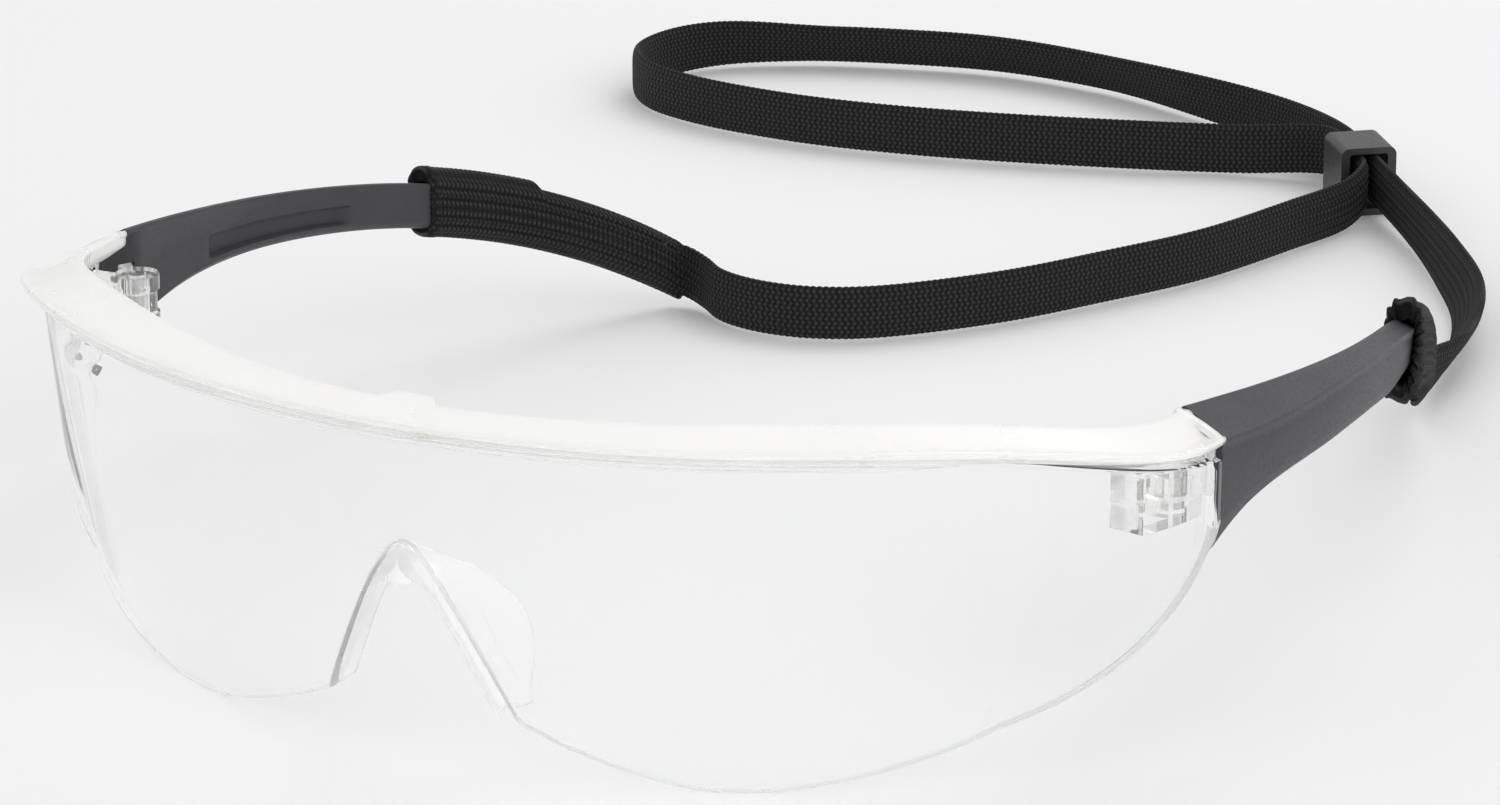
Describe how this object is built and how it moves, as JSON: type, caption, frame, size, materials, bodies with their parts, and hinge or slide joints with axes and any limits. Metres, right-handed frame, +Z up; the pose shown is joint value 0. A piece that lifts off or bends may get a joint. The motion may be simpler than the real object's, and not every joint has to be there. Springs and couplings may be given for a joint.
{
  "type": "safety spectacles",
  "caption": "Clear wraparound safety spectacles with brow guard, soft nose bridge, folding temples and an elastic head strap with a slider.",
  "frame": {"origin": "on the floor, under the middle of the spectacles' box without the loose strap", "axes": "+Z up, -Y out of the front of the lens, +X to the right when looking at the front"},
  "size_m": [0.1797, 0.2801, 0.0421],
  "materials": {
    "clear_lens": "polished clear polycarbonate",
    "clear_frame": "clear moulded polycarbonate",
    "soft_clear": "clear soft elastomer",
    "pin_steel": "plain turned pin",
    "temple_plastic": "fine matte",
    "strap_braid": "ribbed elastic braid",
    "slider_plastic": "semi-matte"
  },
  "bodies": {
    "front": {"lens": "clear_lens", "brow_guard": "clear_frame", "nose_bridge": "soft_clear", "hinge_block_left": "clear_frame", "hinge_block_right": "clear_frame", "hinge_pin_left": "pin_steel", "hinge_pin_right": "pin_steel", "strap_left": "strap_braid", "strap_right": "strap_braid", "strap_loop": "strap_braid"},
    "temple_left_arm": {"temple_left": "temple_plastic", "hinge_tongue_left": "clear_frame", "strap_sleeve_left": "strap_braid"},
    "temple_right_arm": {"temple_right": "temple_plastic", "hinge_tongue_right": "clear_frame", "strap_sleeve_right": "strap_braid"},
    "slider": {"strap_slider": "slider_plastic"}
  },
  "joints": [
    {"name": "temple_left_hinge", "type": "hinge", "parent": "front", "child": "temple_left_arm", "pos_m": [-0.0652, -0.0271, 0.0296], "axis": [0, 0, -1], "range_deg": [0, 90], "deforming": ["strap_left"]},
    {"name": "temple_right_hinge", "type": "hinge", "parent": "front", "child": "temple_right_arm", "pos_m": [0.0652, -0.0271, 0.0296], "axis": [0, 0, 1], "range_deg": [0, 75], "deforming": ["strap_right"]},
    {"name": "slider_slide", "type": "slide", "parent": "front", "child": "slider", "axis": [-0.6388, 0.7694, 0], "range_m": [0, 0.006]}
  ]
}
